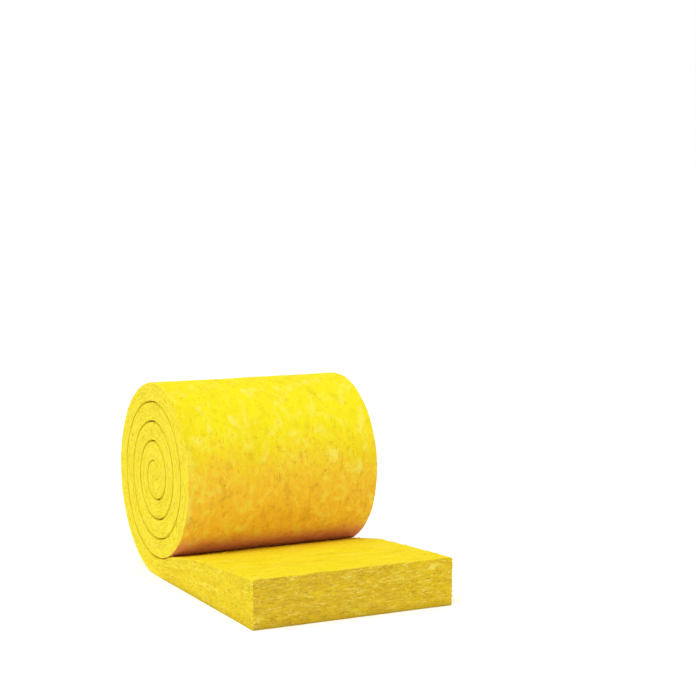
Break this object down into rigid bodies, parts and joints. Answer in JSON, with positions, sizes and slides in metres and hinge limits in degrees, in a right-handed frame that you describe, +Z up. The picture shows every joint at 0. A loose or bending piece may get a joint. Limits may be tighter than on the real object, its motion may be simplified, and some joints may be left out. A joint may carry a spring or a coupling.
{
  "type": "insulation roll",
  "caption": "Glass wool insulation mat wound into a roll lying on its side, its free end rolled out flat and sprung back to full thickness.",
  "frame": {"origin": "on the floor, under the middle of the roll and its tail", "axes": "+X along the roll's axis, the mat's width; -Y towards the mat's cut end; +Z up"},
  "size_m": [0.6, 0.9674, 0.5667],
  "materials": {
    "wool": "matte felted glass fibre, cloudy yellow with ochre flecks"
  },
  "bodies": {
    "root": {"wool_mat": "wool"}
  },
  "joints": []
}
